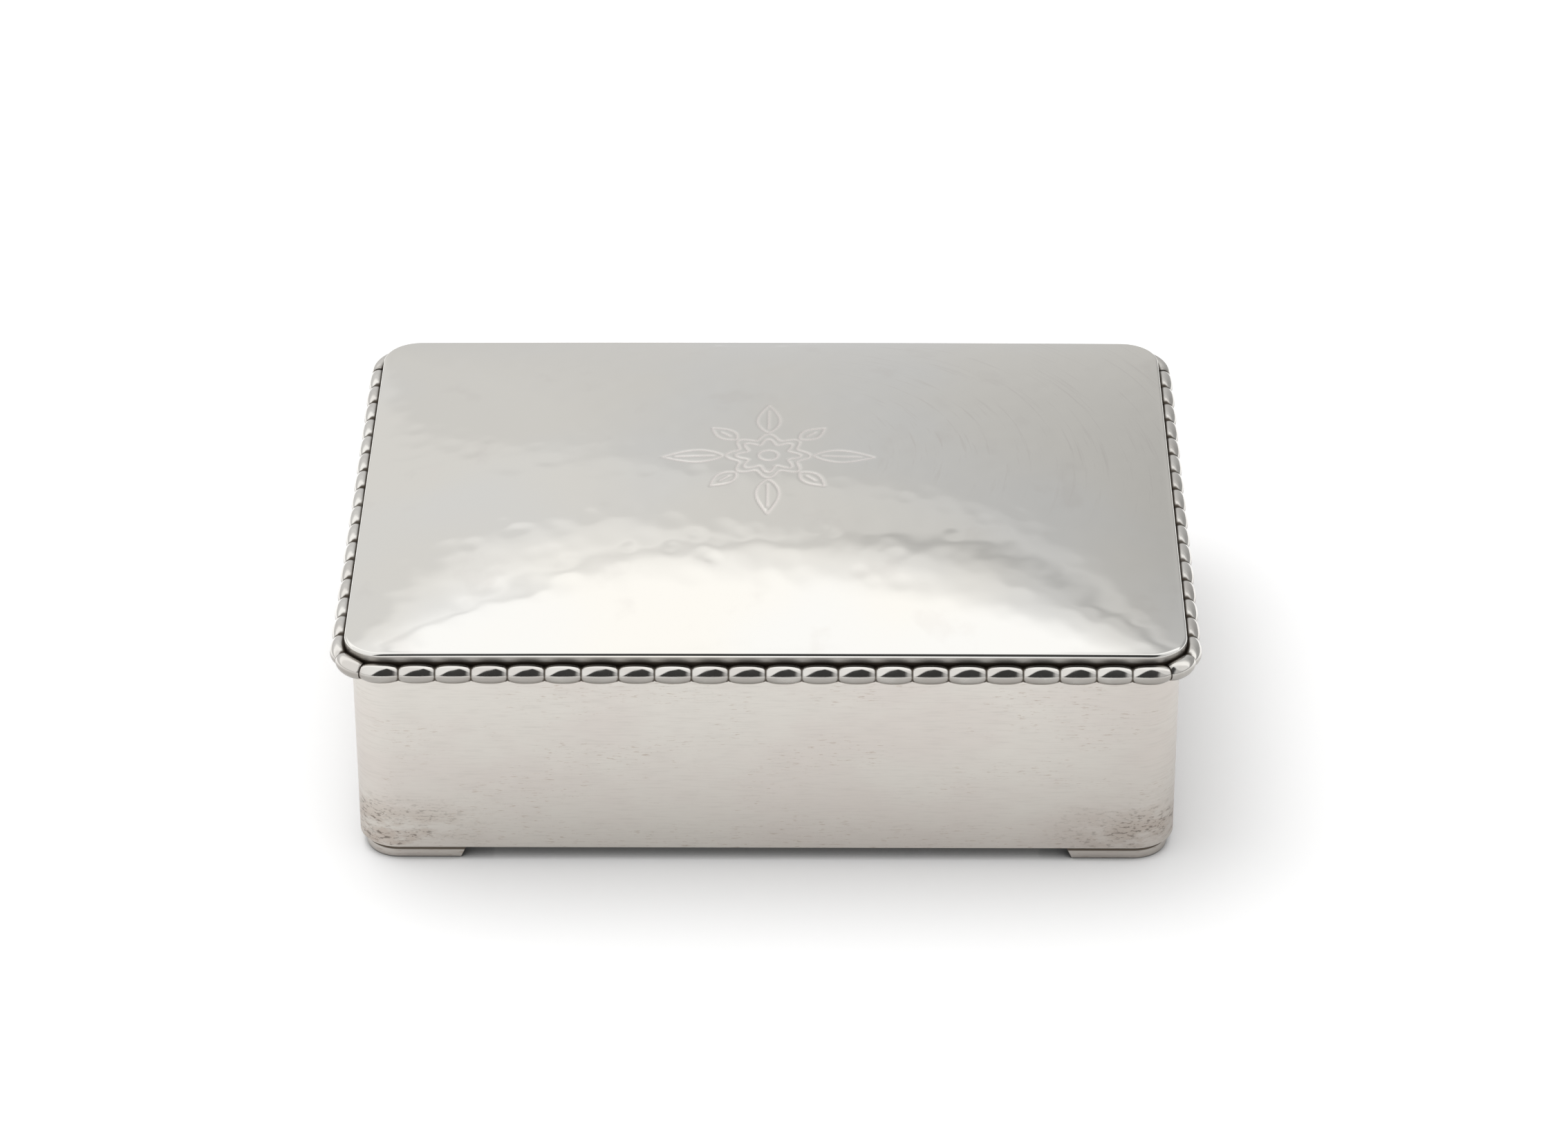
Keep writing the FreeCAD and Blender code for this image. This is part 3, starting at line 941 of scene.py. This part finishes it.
# The studio round the box. Swing goes from the rear horizon over the top to the front, aside to the right.
fill_range = (0, 1, 0.12, 1.06)
rear_grey_range = (-0.15, 0.60, 0.68, 0.38)
overhead_white = 1.12
left_lean_range = (math.radians(-25), 0, math.radians(17.5), 0)
right_lean_range = (0, math.radians(40), 0, math.radians(-10))
light_steps = ((math.radians(32.5), math.radians(36.5), 0, 0.14),
               (math.radians(44), math.radians(47), 0, 0.26),
               (math.radians(46), math.radians(58), 0, 0.60),
               (math.radians(73), math.radians(88), 0, -0.42))
streak_lean = 0.65
streak_place = math.radians(48)
streak_range = (0, math.radians(2.2), 0.15, 0)
streak_left = (math.radians(-12), math.radians(-7))
streak_right = (math.radians(12), math.radians(8))
hill_top = math.radians(80)
hill_place = math.radians(4.8)
hill_left_slope = 2.6
hill_right_slope = 1.35
hill_edge = math.radians(12)
hill_light_range = (math.radians(20), math.radians(36), 0.045, 0.55)


def overhead_light(tree, swing, aside, grey):
    """Grey at the back, rising in leaning steps to white overhead, and a little darker past it."""
    lean = maths(tree, "ADD", ranged(tree, aside, *left_lean_range, smooth=False),
                 ranged(tree, aside, *right_lean_range, smooth=False))
    leaning = maths(tree, "ADD", swing, lean)
    overhead = 0
    for step in light_steps:
        overhead = maths(tree, "ADD", ranged(tree, leaning, *step), overhead)
    return blended(tree, overhead, grey, overhead_white)


def grey_streak(tree, swing, aside):
    """How much a narrow streak across the middle takes from the light."""
    fall = product(tree, maths(tree, "MAXIMUM", aside, 0), streak_lean)
    off = maths(tree, "SUBTRACT", maths(tree, "ADD", swing, fall), streak_place)
    here = product(tree, ranged(tree, aside, *streak_left), ranged(tree, aside, *streak_right))
    return product(tree, ranged(tree, maths(tree, "ABSOLUTE", off), *streak_range), here)


def dark_hill(tree, swing, aside, light):
    """The light with a dark hill in front, paler far to the right."""
    beside = maths(tree, "SUBTRACT", aside, hill_place)
    slopes = maths(tree, "MAXIMUM", product(tree, beside, -hill_left_slope),
                   product(tree, beside, hill_right_slope))
    skyline = maths(tree, "ADD", slopes, hill_top)
    hill = ranged(tree, swing, skyline, maths(tree, "ADD", skyline, hill_edge))
    return blended(tree, hill, light, ranged(tree, aside, *hill_light_range))


def studio_world():
    """White to the camera. Metal sees the studio, and matt surfaces a plain fill."""
    world = bpy.data.worlds.new("studio")
    bpy.context.scene.world = world
    world.use_nodes = True
    tree = world.node_tree
    place = tree.nodes.new("ShaderNodeTexCoord")
    way = tree.nodes.new("ShaderNodeSeparateXYZ")
    tree.links.new(place.outputs["Generated"], way.inputs["Vector"])
    swing = maths(tree, "ARCTAN2", way.outputs["Z"], way.outputs["Y"])
    aside = maths(tree, "ARCSINE", way.outputs["X"])
    grey = ranged(tree, way.outputs["X"], *rear_grey_range, smooth=False)
    light = overhead_light(tree, swing, aside, grey)
    light = maths(tree, "SUBTRACT", light, grey_streak(tree, swing, aside))
    light = dark_hill(tree, swing, aside, light)
    camera, shiny = seen_directly(tree)
    fill = ranged(tree, way.outputs["Z"], *fill_range, smooth=False)
    light = blended(tree, shiny, fill, light)
    light = blended(tree, camera, light, 1)
    tree.links.new(light, tree.nodes["Background"].inputs["Strength"])
    tree.nodes["Background"].inputs["Color"].default_value = (1, 1, 1, 1)


def photo_camera():
    """The camera at the photograph's viewing angle."""
    lens = bpy.data.cameras.new("camera")
    lens.sensor_width = camera_sensor
    lens.lens = camera_lens
    camera = bpy.data.objects.new("camera", lens)
    turn = Matrix.Rotation(camera_heading, 4, "Z")
    tilt = Matrix.Rotation(math.pi / 2 - camera_elevation, 4, "X")
    roll = Matrix.Rotation(-camera_roll, 4, "Z")
    camera.matrix_world = Matrix.Translation(camera_place) @ turn @ tilt @ roll
    bpy.context.scene.collection.objects.link(camera)
    bpy.context.scene.camera = camera


# The box
satin, polished = satin_silver(), polished_silver()
bead_finish, hinge_finish = bead_silver(), hinge_silver()
pieces = {"lid_dome": (lid_shell(polished), "lid", "polished_silver")}
for node, piece in bead_border(bead_finish).items():
    pieces[node] = (piece, "lid", "bead_silver")
pieces["body_wall"] = (case_wall(satin), "body", "satin_silver")
for corner, sides in {"front_left": (-1, -1), "front_right": (1, -1), "rear_left": (-1, 1),
                      "rear_right": (1, 1)}.items():
    node = "foot_" + corner
    pieces[node] = (corner_foot(node + "_bracket", *sides, satin), "body", "satin_silver")
for node, (piece, body, slot) in pieces.items():
    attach(piece, body)
    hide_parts(node)

kept_finish = {"base_plate": satin, "inner_bezel": satin, "lid_seat_ring": polished}
for node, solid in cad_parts.items():
    if node not in pieces:
        solid.material_slots[0].material = kept_finish.get(node, hinge_finish)

# The set and the picture
table_top()
studio_world()
softbox()
photo_camera()
bpy.context.scene.view_settings.view_transform = "Standard"
